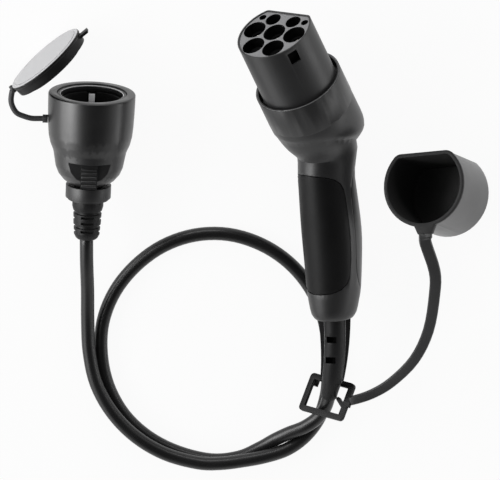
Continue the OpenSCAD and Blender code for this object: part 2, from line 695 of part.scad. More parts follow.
// Nose cap: opening at z = 0 and closed end towards -Z, the flat towards +Y
cap_r = nose_r + cap_clearance + cap_wall;
cap_flat = nose_flat + cap_clearance + cap_wall;
cap_corner = nose_corner + cap_clearance + cap_wall;
module nose_cap() {
    edge = 3;
    color("#77787a") in_cap() difference() {
        union() {
            loft(concat(
                [for (i = [0:4]) let (a = 90 * i / 4, in = edge * (1 - sin(a)), z = edge * (1 - cos(a)))
                    at_height(d_outline(cap_r - in, cap_flat - in, cap_corner - in), z - cap_depth)],
                [at_height(d_outline(cap_r, cap_flat, cap_corner), -2.5)],
                [at_height(d_outline(cap_r + 0.6, cap_flat + 0.6, cap_corner + 0.6), -2)],
                [at_height(d_outline(cap_r + 0.6, cap_flat + 0.6, cap_corner + 0.6), 0)]
            ));
            cap_lug();
        }
        translate([0, 0, cap_wall - cap_depth]) linear_extrude(cap_depth)
            polygon(d_outline(cap_r - cap_wall, cap_flat - cap_wall, cap_corner - cap_wall));
    }
}
// Lug on the round side of the cap's rim that carries the strap
lug_end = cap_r + 5.5;
module cap_lug() {
    rotate([0, 0, 180]) translate([0, 0, -4]) linear_extrude(4)
        polygon([[-8, cap_r - 1], [8, cap_r - 1], [strap_w / 2 + 1, lug_end], [-strap_w / 2 - 1, lug_end]]);
}
strap_route = [
    [129.9, -3, 69], [130, -20.8, 64.5], [125.8, -50.4, 55], [115.9, -74.5, 46.5], [100.1, -93.2, 39],
    [86.1, -103, 35.5], [73.1, -108.2, 33.3]
];
strap_outline = [
    [-strap_w / 2, -strap_t / 4], [-strap_w / 2 + 0.7, -strap_t / 2], [strap_w / 2 - 0.7, -strap_t / 2],
    [strap_w / 2, -strap_t / 4], [strap_w / 2, strap_t / 4], [strap_w / 2 - 0.7, strap_t / 2],
    [-strap_w / 2 + 0.7, strap_t / 2], [-strap_w / 2, strap_t / 4]
];
// The strap narrows from the lug to the clip
function strap_section(t) = [for (q = strap_outline) [q.x * mix(1.1, strap_narrow, t), q.y]];
strap_narrow = 0.75;
// Flat strap whose other end is a ring round the cable, one rubber moulding
module cap_strap() {
    root = [for (d = [0, 5]) cap_at + turned([0, -lug_end - 1.4 - d, -2], cap_turn)];
    color("#4a4a4c") in_place() union() {
        loft(carried(spline(concat(root, strap_route, [clip_at + turned([clip_w / 2 - 2, 1, 0], clip_turn)]), 4),
            function(t) strap_section(t)));
        translate(clip_at) rotate(clip_turn) cable_clip();
    }
}
clip_w = 38;
clip_h = 28.2;
clip_t = 2.8;
clip_corner = 3;
clip_foot = 5.2;
clip_tongue = [[14.8, -3], [9.8, 0.7]];
module cable_clip() {
    left_bar = 0.9 * clip_bar;
    window_h = clip_h - 2 * clip_bar;
    translate([0, 0, -clip_t / 2]) linear_extrude(clip_t) union() {
        difference() {
            union() {
                square([clip_w, clip_h - 2 * clip_corner], center = true);
                square([clip_w - 2 * clip_corner, clip_h], center = true);
                for (x = [-1, 1], y = [-1, 1])
                    translate([x * (clip_w / 2 - clip_corner), y * (clip_h / 2 - clip_corner)])
                        circle(r = clip_corner);
                translate([clip_w / 2 - 1, 1 - strap_w / 2]) square([2.5, strap_narrow * strap_w + 1]);
            }
            translate([left_bar - clip_w / 2, -window_h / 2]) square([clip_w - left_bar - clip_bar, window_h]);
        }
        // Tongue that leans on the cable
        hull() for (end = clip_tongue) translate(end) circle(r = 1.4);
    }
    // Foot under one corner, which the adapter's cable end stands on
    translate([clip_corner - clip_w / 2, clip_h / 2 - clip_corner, -clip_t / 2 - clip_foot])
        linear_extrude(clip_foot + 0.5) {
        intersection() {
            circle(r = clip_corner);
            translate([-clip_corner, 0]) square([clip_corner + 1, clip_corner]);
        }
        translate([-clip_corner, -5]) square([clip_corner + 1, 5]);
    }
}

handle_housing();
handle_cover();
grip_pad();
nose_sleeve();
contact_face();
contact_insulator();
contact_retainer();
contact_pe();
contact_n();
contact_l1();
contact_cp();
contact_pp();
nose_seal();
coding_resistor();
gun_cable_end();
cable_clamp();
clamp_screws();
gun_boot();
main_cable();
coupler_housing();
mouth_ring();
socket_insert();
socket_contact_left();
socket_contact_right();
earth_bracket();
latch_tongue();
gland_collar();
coupler_boot();
coupler_cable_end();
coupler_clamp();
lid();
lid_gasket();
lid_strap();
nose_cap();
cap_strap();
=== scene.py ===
"""Charging adapter: finishes of a bent vehicle connector, its cable, a socket coupler with a lid, and a nose cap."""

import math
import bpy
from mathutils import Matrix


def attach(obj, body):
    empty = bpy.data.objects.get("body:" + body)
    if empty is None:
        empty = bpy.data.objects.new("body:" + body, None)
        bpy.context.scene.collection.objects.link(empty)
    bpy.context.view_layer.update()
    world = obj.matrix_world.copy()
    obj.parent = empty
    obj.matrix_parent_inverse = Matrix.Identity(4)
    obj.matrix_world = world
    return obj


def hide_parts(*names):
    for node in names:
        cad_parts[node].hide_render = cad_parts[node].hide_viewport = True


bl_info = {
    "name": "Charging adapter finishes",
    "version": (1, 0, 0),
    "blender": (4, 5, 0),
    "location": "View3D > Sidebar > Adapter",
    "description": "Lays the cable and straps, and gives every moulded and metal piece its edges and finish",
    "category": "Object",
}

import bmesh
import bpy
from mathutils import Euler, Vector
from mathutils.bvhtree import BVHTree

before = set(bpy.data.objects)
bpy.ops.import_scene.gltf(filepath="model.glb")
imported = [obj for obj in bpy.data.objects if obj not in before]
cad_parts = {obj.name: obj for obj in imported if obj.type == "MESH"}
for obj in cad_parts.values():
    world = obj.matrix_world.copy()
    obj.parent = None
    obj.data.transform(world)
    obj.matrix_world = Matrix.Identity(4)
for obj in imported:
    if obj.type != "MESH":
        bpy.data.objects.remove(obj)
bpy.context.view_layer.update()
MM = 0.001

# Width that the picture takes in, in metres, and the camera's sensor, in millimetres
VIEW_WIDTH = 0.3534
SENSOR_WIDTH = 36.0

# Places are in millimetres and turns in degrees, before the shift that centres the whole over the origin
CENTRE_SHIFT = Vector((0.9, -29.2, 0.0))
GUN_TURN = (-63.2, -38.1, 5.0)
HANDLE_END_AT = Vector((59.66, -46.7, 34.5))
COUPLER_AT = Vector((-111.2, 116.6, 30.75))
COUPLER_TURN = (90.0, 0.0, 177.8)
LID_AT = Vector((-144.9, 142.4, 30.75))
LID_TURN = (90.0, 0.0, 221.0)
CLIP_AT = Vector((54.7, -109.7, 20.6))
CLIP_TURN = (-29.0, -36.5, -4.0)
CAP_AT = Vector((122.1, 57.0, 56.8))
CAP_TURN = (-28.4, -20.4, 11.6)

# Measures of the pieces, in millimetres
BEND = math.radians(30)
HANDLE_LEN = 121
HANDLE_OFFSET = 5.2
RELIEF_LEN = 61.4
RELIEF_DROOP = Vector((-7.0, 0.0, -14.7))
RELIEF_SLOT_SHARES = (0.26, 0.525)
RELIEF_TIP = 4.0
RELIEF_TIP_GROWTH = 16.0
HEAD_RIM = 64.3
HEAD_SLOT_FLOOR = 50
HEAD_SLOT_RADIUS = 30.2
CHAMBER_REACH = 25.9
COUPLER_LEN = 70.0
COUPLER_RELIEF_LEN = 36.6
CAP_LUG_AT = (0, -36.2, -2)
CAP_RIM_DEPTH = 4.6
CAP_FLOOR = (-49, -40)
CLIP_REACH = 28.0
CLIP_EDGE = 21.0

# Centre line of the cable between its two strain reliefs
CABLE_ROUTE = [
    (53, -118.5, 17.8), (47.25, -127.25, 14.8), (38.25, -134.25, 12.8), (27.5, -139.5, 9.8),
    (17.25, -145.5, 6.6), (7, -152, 5), (-7.75, -158.75, 4.8), (-27.5, -160.75, 4.8), (-51, -155, 4.8),
    (-72.25, -143.75, 4.8), (-89.25, -127.25, 4.8), (-100.5, -106, 4.8), (-105.25, -82.5, 4.8),
    (-104, -58.75, 4.8), (-95.5, -36.5, 4.8), (-80.75, -17.5, 4.8), (-61.5, -3, 4.8), (-39, 5, 4.8),
    (-15.25, 5.5, 4.8), (7.75, -1.75, 4.8), (27.5, -15.25, 4.8), (42.5, -33.75, 4.8), (52, -56, 4.8),
    (55.5, -80, 4.8), (55.5, -96.75, 4.8), (54, -113.25, 4.8), (49, -129.25, 4.8), (39.5, -142.5, 5.7),
    (26.5, -151.25, 9.7), (11, -155.5, 13.7), (-5, -158.25, 15.1), (-21.25, -160.25, 15.2),
    (-37.25, -159.75, 14.9), (-60.25, -153.25, 14.5), (-80.75, -140.75, 14.4), (-97.25, -123.5, 13.7),
    (-108.75, -102.5, 12.1), (-113.75, -79, 11.1), (-114.75, -55.25, 13.2), (-114.75, -32, 19.6),
    (-115.25, -9.5, 27.7),
]


def radians(degrees):
    """Three angles in radians."""
    return [math.radians(a) for a in degrees]


def rotation(degrees):
    """The matrix of turns about X, then Y, then Z."""
    return Euler(radians(degrees), "XYZ").to_matrix()


# The nose and the handle lie along these directions, and NOSE_FOOT is where their axes meet
NOSE_AXIS = rotation(GUN_TURN) @ Vector((0, 0, 1))
HANDLE_AXIS = rotation(GUN_TURN) @ Vector((0, math.sin(BEND), math.cos(BEND)))
HANDLE_SIDE = rotation(GUN_TURN) @ Vector((0, math.cos(BEND), -math.sin(BEND)))
NOSE_FOOT = HANDLE_END_AT + HANDLE_LEN * HANDLE_AXIS + HANDLE_OFFSET * HANDLE_SIDE + CENTRE_SHIFT


class CableSettings(bpy.types.PropertyGroup):
    diameter: bpy.props.FloatProperty(
        name="Diameter", description="Outside diameter of the sheathed cable", default=0.0096, unit="LENGTH"
    )
    colour: bpy.props.FloatVectorProperty(
        name="Sheath", description="Colour of the rubber sheath", default=(0.0062, 0.0062, 0.0065), subtype="COLOR"
    )


class ConnectorSettings(bpy.types.PropertyGroup):
    housing_colour: bpy.props.FloatVectorProperty(
        name="Housing", description="Colour of the moulded head and handle", default=(0.009, 0.009, 0.0095),
        subtype="COLOR",
    )
    cover_colour: bpy.props.FloatVectorProperty(
        name="Cover", description="Colour of the inlaid cover", default=(0.011, 0.011, 0.0115), subtype="COLOR"
    )
    grip_colour: bpy.props.FloatVectorProperty(
        name="Grip", description="Colour of the soft grip pad", default=(0.0025, 0.0025, 0.0027), subtype="COLOR"
    )
    face_colour: bpy.props.FloatVectorProperty(
        name="Face", description="Colour of the contact carrier", default=(0.20, 0.20, 0.205), subtype="COLOR"
    )
    edge: bpy.props.FloatProperty(
        name="Edge", description="Radius that moulded edges are broken with", default=0.0004, unit="LENGTH"
    )


class CouplerSettings(bpy.types.PropertyGroup):
    housing_colour: bpy.props.FloatVectorProperty(
        name="Housing", description="Colour of the coupler's housing", default=(0.006, 0.006, 0.0063), subtype="COLOR"
    )
    lid_colour: bpy.props.FloatVectorProperty(
        name="Lid", description="Colour of the lid's outer face", default=(0.52, 0.52, 0.53), subtype="COLOR"
    )


class CapSettings(bpy.types.PropertyGroup):
    cap_colour: bpy.props.FloatVectorProperty(
        name="Cap", description="Colour of the rubber nose cap", default=(0.045, 0.045, 0.0461), subtype="COLOR"
    )
    strap_colour: bpy.props.FloatVectorProperty(
        name="Strap", description="Colour of the flat strap", default=(0.026, 0.026, 0.0268), subtype="COLOR"
    )


class StageSettings(bpy.types.PropertyGroup):
    lens: bpy.props.FloatProperty(
        name="Lens", description="Focal length in millimetres", default=1500.0, unit="CAMERA"
    )
    tilt: bpy.props.FloatProperty(
        name="Tilt", description="Angle of the view off the vertical", default=math.radians(16), subtype="ANGLE"
    )


# Helpers for places and selections


def turned(vector, degrees):
    """The vector after turns about X, then Y, then Z."""
    return rotation(degrees) @ Vector(vector)


def placed(point):
    """A place in millimetres, centred and in metres."""
    return (Vector(point) + CENTRE_SHIFT) * MM


def off_from(face, place):
    """From a place to the middle of a face, in millimetres."""
    return face.center / MM - CENTRE_SHIFT - place


def smooth_line(points, steps):
    """The same smooth line through points as the CAD solids follow."""
    line = []
    last = len(points) - 1
    for i in range(last):
        a, b, c, d = points[max(i - 1, 0)], points[i], points[i + 1], points[min(i + 2, last)]
        for j in range(steps):
            t = j / steps
            line.append(
                0.5 * (2 * b + (c - a) * t + (2 * a - 5 * b + 4 * c - d) * t * t + (3 * b - a - 3 * c + d) * t ** 3)
            )
    line.append(points[last])
    return line


def only(piece):
    """Makes piece the one selected and active object."""
    bpy.ops.object.select_all(action="DESELECT")
    piece.select_set(True)
    bpy.context.view_layer.objects.active = piece


def baked(piece):
    """Puts the piece's place, turn and scale into its mesh."""
    only(piece)
    bpy.ops.object.transform_apply(location=True, rotation=True, scale=True)
    return piece


def finish_piece(piece, material, nodes):
    """Gives a finished piece its material and body, and hides the CAD solids that it stands in for."""
    piece.data.materials.clear()
    piece.data.materials.append(material)
    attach(piece, "root")
    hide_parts(*nodes)
    return piece


def context_piece(name):
    """The piece that was just added, with its name."""
    piece = bpy.context.object
    piece.name = name
    return piece


def refined(node, name, width, segments=2, angle=30.0, smooth=35.0, dissolve=0.4):
    """A copy of a CAD solid whose sharp edges are broken with a small radius, as a mould leaves them."""
    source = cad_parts[node]
    piece = source.copy()
    piece.data = source.data.copy()
    piece.name = name
    piece.data.name = name
    bpy.context.collection.objects.link(piece)
    only(piece)
    bpy.ops.object.mode_set(mode="EDIT")
    bpy.ops.mesh.select_all(action="SELECT")
    bpy.ops.mesh.remove_doubles(threshold=0.000004)
    if dissolve:
        bpy.ops.mesh.dissolve_limited(angle_limit=math.radians(dissolve))
    bpy.ops.object.mode_set(mode="OBJECT")
    if width:
        bevel = piece.modifiers.new("Broken edges", "BEVEL")
        bevel.width = width
        bevel.segments = segments
        bevel.limit_method = "ANGLE"
        bevel.angle_limit = math.radians(angle)
        bevel.use_clamp_overlap = True
        bpy.ops.object.modifier_apply(modifier=bevel.name)
    bpy.ops.object.shade_smooth_by_angle(angle=math.radians(smooth), keep_sharp_edges=False)
    return piece


def paint_faces(piece, material, chosen):
    """Gives a second finish to the faces for which chosen is true."""
    piece.data.materials.append(material)
    index = len(piece.data.materials) - 1
    for face in piece.data.polygons:
        if chosen(face):
            face.material_index = index


# Shader node groups


def group_input(group, name, kind, default):
    """Adds an input with its default to a node group."""
    group.interface.new_socket(name=name, in_out="INPUT", socket_type=kind).default_value = default


def joined(tree, a, b):
    """Links two sockets."""
    tree.links.new(a, b)


def math_node(tree, operation, second=None):
    """A math node, with its second value if it is fixed."""
    node = tree.nodes.new("ShaderNodeMath")
    node.operation = operation
    if second is not None:
        node.inputs[1].default_value = second
    return node


def mix_node(tree, kind):
    """A mix node for colours or numbers."""
    node = tree.nodes.new("ShaderNodeMix")
    node.data_type = kind
    return node


def range_node(tree, start, end, low=0.0, high=1.0, smooth=False):
    """A map range node."""
    node = tree.nodes.new("ShaderNodeMapRange")
    if smooth:
        node.interpolation_type = "SMOOTHSTEP"
    node.inputs["From Min"].default_value = start
    node.inputs["From Max"].default_value = end
    node.inputs["To Min"].default_value = low
    node.inputs["To Max"].default_value = high
    return node


def moulded_grain_group():
    """Fine spark grain of a mould: a height and a speckle mask."""
    group = bpy.data.node_groups.new("Moulded grain", "ShaderNodeTree")
    group_input(group, "Scale", "NodeSocketFloat", 1500.0)
    group_input(group, "Coarse scale", "NodeSocketFloat", 420.0)
    group.interface.new_socket(name="Height", in_out="OUTPUT", socket_type="NodeSocketFloat")
    group.interface.new_socket(name="Speckle", in_out="OUTPUT", socket_type="NodeSocketFloat")
    nodes = group.nodes
    inp = nodes.new("NodeGroupInput")
    out = nodes.new("NodeGroupOutput")
    coords = nodes.new("ShaderNodeTexCoord")
    fine = nodes.new("ShaderNodeTexNoise")
    fine.inputs["Detail"].default_value = 2.0
    coarse = nodes.new("ShaderNodeTexVoronoi")
    coarse.feature = "SMOOTH_F1"
    blend = math_node(group, "MULTIPLY_ADD", 0.6)
    speckle = range_node(group, 0.42, 0.72)
    joined(group, coords.outputs["Object"], fine.inputs["Vector"])
    joined(group, coords.outputs["Object"], coarse.inputs["Vector"])
    joined(group, inp.outputs["Scale"], fine.inputs["Scale"])
    joined(group, inp.outputs["Coarse scale"], coarse.inputs["Scale"])
    joined(group, fine.outputs["Fac"], blend.inputs[0])
    joined(group, coarse.outputs["Distance"], blend.inputs[2])
    joined(group, fine.outputs["Fac"], speckle.inputs["Value"])
    joined(group, blend.outputs["Value"], out.inputs["Height"])
    joined(group, speckle.outputs["Result"], out.inputs["Speckle"])
    return group


def handling_group():
    """Slow drift of colour and gloss that handling leaves on plastic and rubber."""
    group = bpy.data.node_groups.new("Handling marks", "ShaderNodeTree")
    group_input(group, "Base", "NodeSocketColor", (0.1, 0.1, 0.1, 1.0))
    group_input(group, "Worn", "NodeSocketColor", (0.14, 0.14, 0.14, 1.0))
    group_input(group, "Amount", "NodeSocketFloat", 0.3)
    group_input(group, "Roughness low", "NodeSocketFloat", 0.5)
    group_input(group, "Roughness high", "NodeSocketFloat", 0.6)
    group_input(group, "Scale", "NodeSocketFloat", 28.0)
    group.interface.new_socket(name="Color", in_out="OUTPUT", socket_type="NodeSocketColor")
    group.interface.new_socket(name="Roughness", in_out="OUTPUT", socket_type="NodeSocketFloat")
    nodes = group.nodes
    inp = nodes.new("NodeGroupInput")
    out = nodes.new("NodeGroupOutput")
    coords = nodes.new("ShaderNodeTexCoord")
    cloud = nodes.new("ShaderNodeTexNoise")
    cloud.inputs["Detail"].default_value = 5.0
    cloud.inputs["Roughness"].default_value = 0.6
    ramp = range_node(group, 0.35, 0.7)
    amount = math_node(group, "MULTIPLY")
    colour = mix_node(group, "RGBA")
    rough = mix_node(group, "FLOAT")
    joined(group, coords.outputs["Object"], cloud.inputs["Vector"])
    joined(group, inp.outputs["Scale"], cloud.inputs["Scale"])
    joined(group, cloud.outputs["Fac"], ramp.inputs["Value"])
    joined(group, ramp.outputs["Result"], amount.inputs[0])
    joined(group, inp.outputs["Amount"], amount.inputs[1])
    joined(group, amount.outputs["Value"], colour.inputs["Factor"])
    joined(group, inp.outputs["Base"], colour.inputs["A"])
    joined(group, inp.outputs["Worn"], colour.inputs["B"])
    joined(group, ramp.outputs["Result"], rough.inputs["Factor"])
    joined(group, inp.outputs["Roughness low"], rough.inputs["A"])
    joined(group, inp.outputs["Roughness high"], rough.inputs["B"])
    joined(group, colour.outputs["Result"], out.inputs["Color"])
    joined(group, rough.outputs["Result"], out.inputs["Roughness"])
    return group


def shared_group(name):
    """The named node group, built once."""
    makers = {"Moulded grain": moulded_grain_group, "Handling marks": handling_group}
    return bpy.data.node_groups.get(name) or makers[name]()


def finish(
    name, base, worn, roughness, grain=1500.0, coarse=420.0, bump=0.12, depth=0.00004, amount=0.35,
    speckle=0.0, speckle_colour=(0.5, 0.5, 0.5), metallic=0.0, coat=0.0, sheen=0.0, specular=0.5,
):
    """A procedural finish: colour and gloss that drift, mould grain as bump and, where asked, a speckle."""
    found = bpy.data.materials.get(name)
    if found:
        return found
    material = bpy.data.materials.new(name)
    material.use_nodes = True
    tree = material.node_tree
    shader = tree.nodes["Principled BSDF"]
    shader.inputs["Metallic"].default_value = metallic
    shader.inputs["Coat Weight"].default_value = coat
    shader.inputs["Coat Roughness"].default_value = 0.25
    shader.inputs["Sheen Weight"].default_value = sheen
    shader.inputs["Sheen Roughness"].default_value = 0.6
    shader.inputs["Specular IOR Level"].default_value = specular
    marks = tree.nodes.new("ShaderNodeGroup")
    marks.node_tree = shared_group("Handling marks")
    marks.inputs["Base"].default_value = (*base, 1.0)
    marks.inputs["Worn"].default_value = (*worn, 1.0)
    marks.inputs["Amount"].default_value = amount
    marks.inputs["Roughness low"].default_value = roughness[0]
    marks.inputs["Roughness high"].default_value = roughness[1]
    texture = tree.nodes.new("ShaderNodeGroup")
    texture.node_tree = shared_group("Moulded grain")
    texture.inputs["Scale"].default_value = grain
    texture.inputs["Coarse scale"].default_value = coarse
    relief = tree.nodes.new("ShaderNodeBump")
    relief.inputs["Strength"].default_value = bump
    relief.inputs["Distance"].default_value = depth
    joined(tree, texture.outputs["Height"], relief.inputs["Height"])
    joined(tree, relief.outputs["Normal"], shader.inputs["Normal"])
    joined(tree, marks.outputs["Roughness"], shader.inputs["Roughness"])
    if speckle:
        strength = math_node(tree, "MULTIPLY", speckle)
        dots = mix_node(tree, "RGBA")
        dots.inputs["B"].default_value = (*speckle_colour, 1.0)
        joined(tree, texture.outputs["Speckle"], strength.inputs[0])
        joined(tree, strength.outputs["Value"], dots.inputs["Factor"])
        joined(tree, marks.outputs["Color"], dots.inputs["A"])
        joined(tree, dots.outputs["Result"], shader.inputs["Base Color"])
    else:
        joined(tree, marks.outputs["Color"], shader.inputs["Base Color"])
    return material


def lighter(colour, by):
    """The colour times a factor, up to white."""
    return tuple(min(1.0, c * by) for c in colour)


def rubber_finish(name, colour, roughness=(0.5, 0.62), bump=0.1, specular=0.4):
    """Soft rubber with a coarse grain and a little sheen."""
    return finish(
        name, colour, lighter(colour, 1.5), roughness, grain=900.0, coarse=260.0, bump=bump, sheen=0.03,
        specular=specular,
    )


def metal_finish(name, colour, roughness):
    """Bare metal with a fine grain."""
    return finish(name, colour, lighter(colour, 0.8), roughness, grain=2200.0, coarse=700.0, bump=0.05, metallic=1.0)


def plated_finish():
    """The plating of every contact."""
    return metal_finish("Plated contact", (0.72, 0.68, 0.6), (0.25, 0.35))


def shade_finish(name):
    """The near black of grooves and slots that no light reaches."""
    return finish(name, (0.003, 0.003, 0.003), (0.005, 0.005, 0.005), (0.7, 0.8), specular=0.1)


# Operators


class ADAPTER_OT_camera(bpy.types.Operator):
    """Sets up the camera above the adapter, tilted towards its connector end"""

    bl_idname = "adapter.camera"
    bl_label = "Camera"

    def execute(self, context):
        stage = context.scene.adapter_stage
        away = Vector((0.0, math.sin(stage.tilt), math.cos(stage.tilt)))
        distance = VIEW_WIDTH * stage.lens / SENSOR_WIDTH
        bpy.ops.object.camera_add(
            location=placed((0, 0, 0)) + distance * away, rotation=(-stage.tilt, 0.0, 0.0)
        )
        camera = context.object
        camera.name = "View camera"
        camera.data.lens = stage.lens
        camera.data.sensor_width = SENSOR_WIDTH
        camera.data.clip_end = 40.0
        context.scene.camera = camera
        return {"FINISHED"}


def cable_line():
    """Centre line of the cable from one strain relief to the other, in metres."""
    leave = boot_point(1.0)
    ahead = (leave - boot_point(0.95)).normalized()
    end = -(COUPLER_LEN + COUPLER_RELIEF_LEN)
    into = COUPLER_AT + turned((0, 0, end), COUPLER_TURN)
    back = COUPLER_AT + turned((0, 0, end - 1), COUPLER_TURN)
    middle = [leave + ahead] + [Vector(p) for p in CABLE_ROUTE] + [back - Vector((0, 4, 0)), back]
    return [placed(p) for p in [leave] + smooth_line(middle, 5) + [into]]


def boot_point(t):
    """Point on the middle line of the connector's strain relief, at a share of its length, in millimetres."""
    return HANDLE_END_AT - HANDLE_AXIS * (t * RELIEF_LEN) + RELIEF_DROOP * (t * t)


def tube_curve(name, points, radius, sides):
    """A round cord along points, as a curve with closed ends."""
    data = bpy.data.curves.new(name, "CURVE")
    data.dimensions = "3D"
    data.bevel_depth = radius
    data.bevel_resolution = sides
    data.use_fill_caps = True
    data.twist_mode = "MINIMUM"
    spline = data.splines.new("POLY")
    spline.points.add(len(points) - 1)
    for point, place in zip(spline.points, points):
        point.co = (*place, 1.0)
    spline.use_smooth = True
    piece = bpy.data.objects.new(name, data)
    bpy.context.collection.objects.link(piece)
    return piece


class ADAPTER_OT_cable(bpy.types.Operator):
    """Lays the sheathed cable in its two passes round the loop"""

    bl_idname = "adapter.cable"
    bl_label = "Cable"

    def execute(self, context):
        settings = context.scene.adapter_cable
        line = cable_line()
        cable = tube_curve("cable_sheath", line, settings.diameter / 2, 6)
        sheath = rubber_finish("Cable sheath", settings.colour, (0.3, 0.38), 0.06)
        finish_piece(cable, sheath, ["main_cable"])
        return {"FINISHED"}


def inlay_tree(node):
    """Search tree over the faces of an inlay, to find what lies against it."""
    mesh = bmesh.new()
    mesh.from_mesh(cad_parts[node].data)
    tree = BVHTree.FromBMesh(mesh)
    mesh.free()
    return tree


def in_ring_slot(face):
    """Whether a face of the head lies in the slot between its rim and the nose."""
    off = face.center / MM - NOSE_FOOT
    height = off.dot(NOSE_AXIS)
    away = off - NOSE_AXIS * height
    return (
        HEAD_SLOT_FLOOR < height < HEAD_RIM - 0.1
        and away.length < HEAD_SLOT_RADIUS
        and face.normal.dot(away) < 0
    )


def in_chamber(face):
    """Whether a face of the contact plate is a wall of one of its chambers."""
    off = face.center / MM - NOSE_FOOT
    return abs(face.normal.dot(NOSE_AXIS)) < 0.5 and off.cross(NOSE_AXIS).length < CHAMBER_REACH


def rim_highlight_bead():
    """A fine pale ring on the outer edge of the head's rim, as a painted highlight."""
    bpy.ops.object.select_all(action="DESELECT")
    bpy.ops.mesh.primitive_torus_add(
        major_radius=0.0308, minor_radius=0.0004, major_segments=96, minor_segments=10,
        location=(NOSE_FOOT + NOSE_AXIS * HEAD_RIM) * MM, rotation=radians(GUN_TURN),
    )
    highlight_bead = context_piece("rim_highlight_bead")
    bpy.ops.object.shade_smooth()
    return baked(highlight_bead)


class ADAPTER_OT_connector(bpy.types.Operator):
    """Finishes the connector's head, handle, grip pad, cover, nose and contacts"""

    bl_idname = "adapter.connector"
    bl_label = "Connector"

    def execute(self, context):
        settings = context.scene.adapter_connector
        shell, cover = (
            finish(name, colour, lighter(colour, 1.3), (0.36, 0.44), specular=specular, sheen=0.1)
            for name, colour, specular in (
                ("Housing plastic", settings.housing_colour, 0.38),
                ("Cover plastic", settings.cover_colour, 0.5),
            )
        )
        pad = rubber_finish("Grip rubber", settings.grip_colour, (0.45, 0.55), specular=0.13)
        face = finish(
            "Contact carrier plastic", settings.face_colour, lighter(settings.face_colour, 1.15), (0.5, 0.6),
            grain=2600.0, speckle=0.35, speckle_colour=(0.4, 0.4, 0.41),
        )
        edge = settings.edge

        housing = refined("handle_housing", "housing_shell", edge, smooth=32, dissolve=0.0)
        finish_piece(housing, shell, ["handle_housing"])
        groove = shade_finish("Groove shade")
        inlays = [inlay_tree(name) for name in ("grip_pad", "handle_cover")]

        def beside_inlay(face):
            return any(tree.find_nearest(face.center, 0.0007)[0] is not None for tree in inlays)

        paint_faces(housing, groove, beside_inlay)
        paint_faces(housing, groove, in_ring_slot)
        # Painted highlight: a pale ring stands for the light line along the rim's outer edge
        rim = finish("Rim painted highlight", (0.11, 0.11, 0.113), (0.15, 0.15, 0.15), (0.25, 0.35))
        finish_piece(rim_highlight_bead(), rim, ["handle_housing"])

        panel = refined("handle_cover", "cover_panel", edge, dissolve=0.0)
        finish_piece(panel, cover, ["handle_cover"])
        inlay = refined("grip_pad", "grip_inlay", edge, dissolve=0.0)
        finish_piece(inlay, pad, ["grip_pad"])
        finish_piece(refined("nose_sleeve", "nose_shell", edge), shell, ["nose_sleeve"])

        plate = refined("contact_face", "contact_plate", 0.0003, dissolve=0.0)
        finish_piece(plate, face, ["contact_face"])
        # Painted shade: the chamber walls of the plate and the whole contact carrier are given a near black
        chamber = finish("Chamber painted shade", (0.002, 0.002, 0.002), (0.003, 0.003, 0.003), (0.7, 0.8), specular=0.05)
        paint_faces(plate, chamber, in_chamber)
        carrier = refined("contact_insulator", "contact_carrier", 0.0002)
        finish_piece(carrier, chamber, ["contact_insulator"])
        for node in ("contact_pe", "contact_n", "contact_l1", "contact_cp", "contact_pp"):
            finish_piece(refined(node, node + "_sleeve", 0.0002), plated_finish(), [node])
        return {"FINISHED"}


def in_boot_slot(face):
    """Whether a face of the strain relief lies inside one of its cross slots."""
    for share in RELIEF_SLOT_SHARES:
        off = turned(off_from(face, boot_point(share)), (RELIEF_TIP + RELIEF_TIP_GROWTH * share, 0, 0))
        in_upper = -6.1 < off.x < 1.1 and off.z > 1.5
        in_lower = -1.1 < off.x < 6.1 and off.z < -1.5
        if abs(off.y) < 2.4 and (in_upper or in_lower):
            return True
    return False


def boot_ridge(side, share):
    """Point on the crease between the strain relief's round body and its flat rib, in metres."""
    ahead = (boot_point(share + 0.02) - boot_point(share - 0.02)).normalized()
    across = Vector((0, 0, 1)).cross(ahead).normalized()
    up = ahead.cross(across)
    return placed(boot_point(share) + across * (side * (7.3 - 0.7 * share)) + up * (2.3 - 0.2 * share))


class ADAPTER_OT_strain_relief(bpy.types.Operator):
    """Finishes the two rubber strain reliefs and the coupler's gland collar"""

    bl_idname = "adapter.strain_relief"
    bl_label = "Strain reliefs"

    def execute(self, context):
        rubber = rubber_finish("Strain relief rubber", (0.01, 0.01, 0.0104), (0.4, 0.5), specular=0.17)
        boot = refined("gun_boot", "connector_boot", 0.0003, dissolve=0.0)
        finish_piece(boot, rubber, ["gun_boot"])
        paint_faces(boot, shade_finish("Slot shade"), in_boot_slot)
        # Painted highlight: a thin pale tube along each crease stands for the light line on the strain relief's
        # ridges
        highlight_bead = finish("Ridge painted highlight", (0.3, 0.3, 0.305), (0.36, 0.36, 0.36), (0.3, 0.4))
        for side, name in ((-1, "right_ridge_highlight"), (1, "left_ridge_highlight")):
            line = [boot_ridge(side, 0.02 + 0.04 * i) for i in range(20)]
            finish_piece(tube_curve(name, line, 0.0004, 3), highlight_bead, ["gun_boot"])
        finish_piece(refined("coupler_boot", "coupler_relief", 0.0004), rubber, ["coupler_boot"])
        collar = finish("Collar plastic", (0.013, 0.013, 0.0135), (0.02, 0.02, 0.021), (0.38, 0.48))
        finish_piece(refined("gland_collar", "gland_ring", 0.0005), collar, ["gland_collar"])
        return {"FINISHED"}


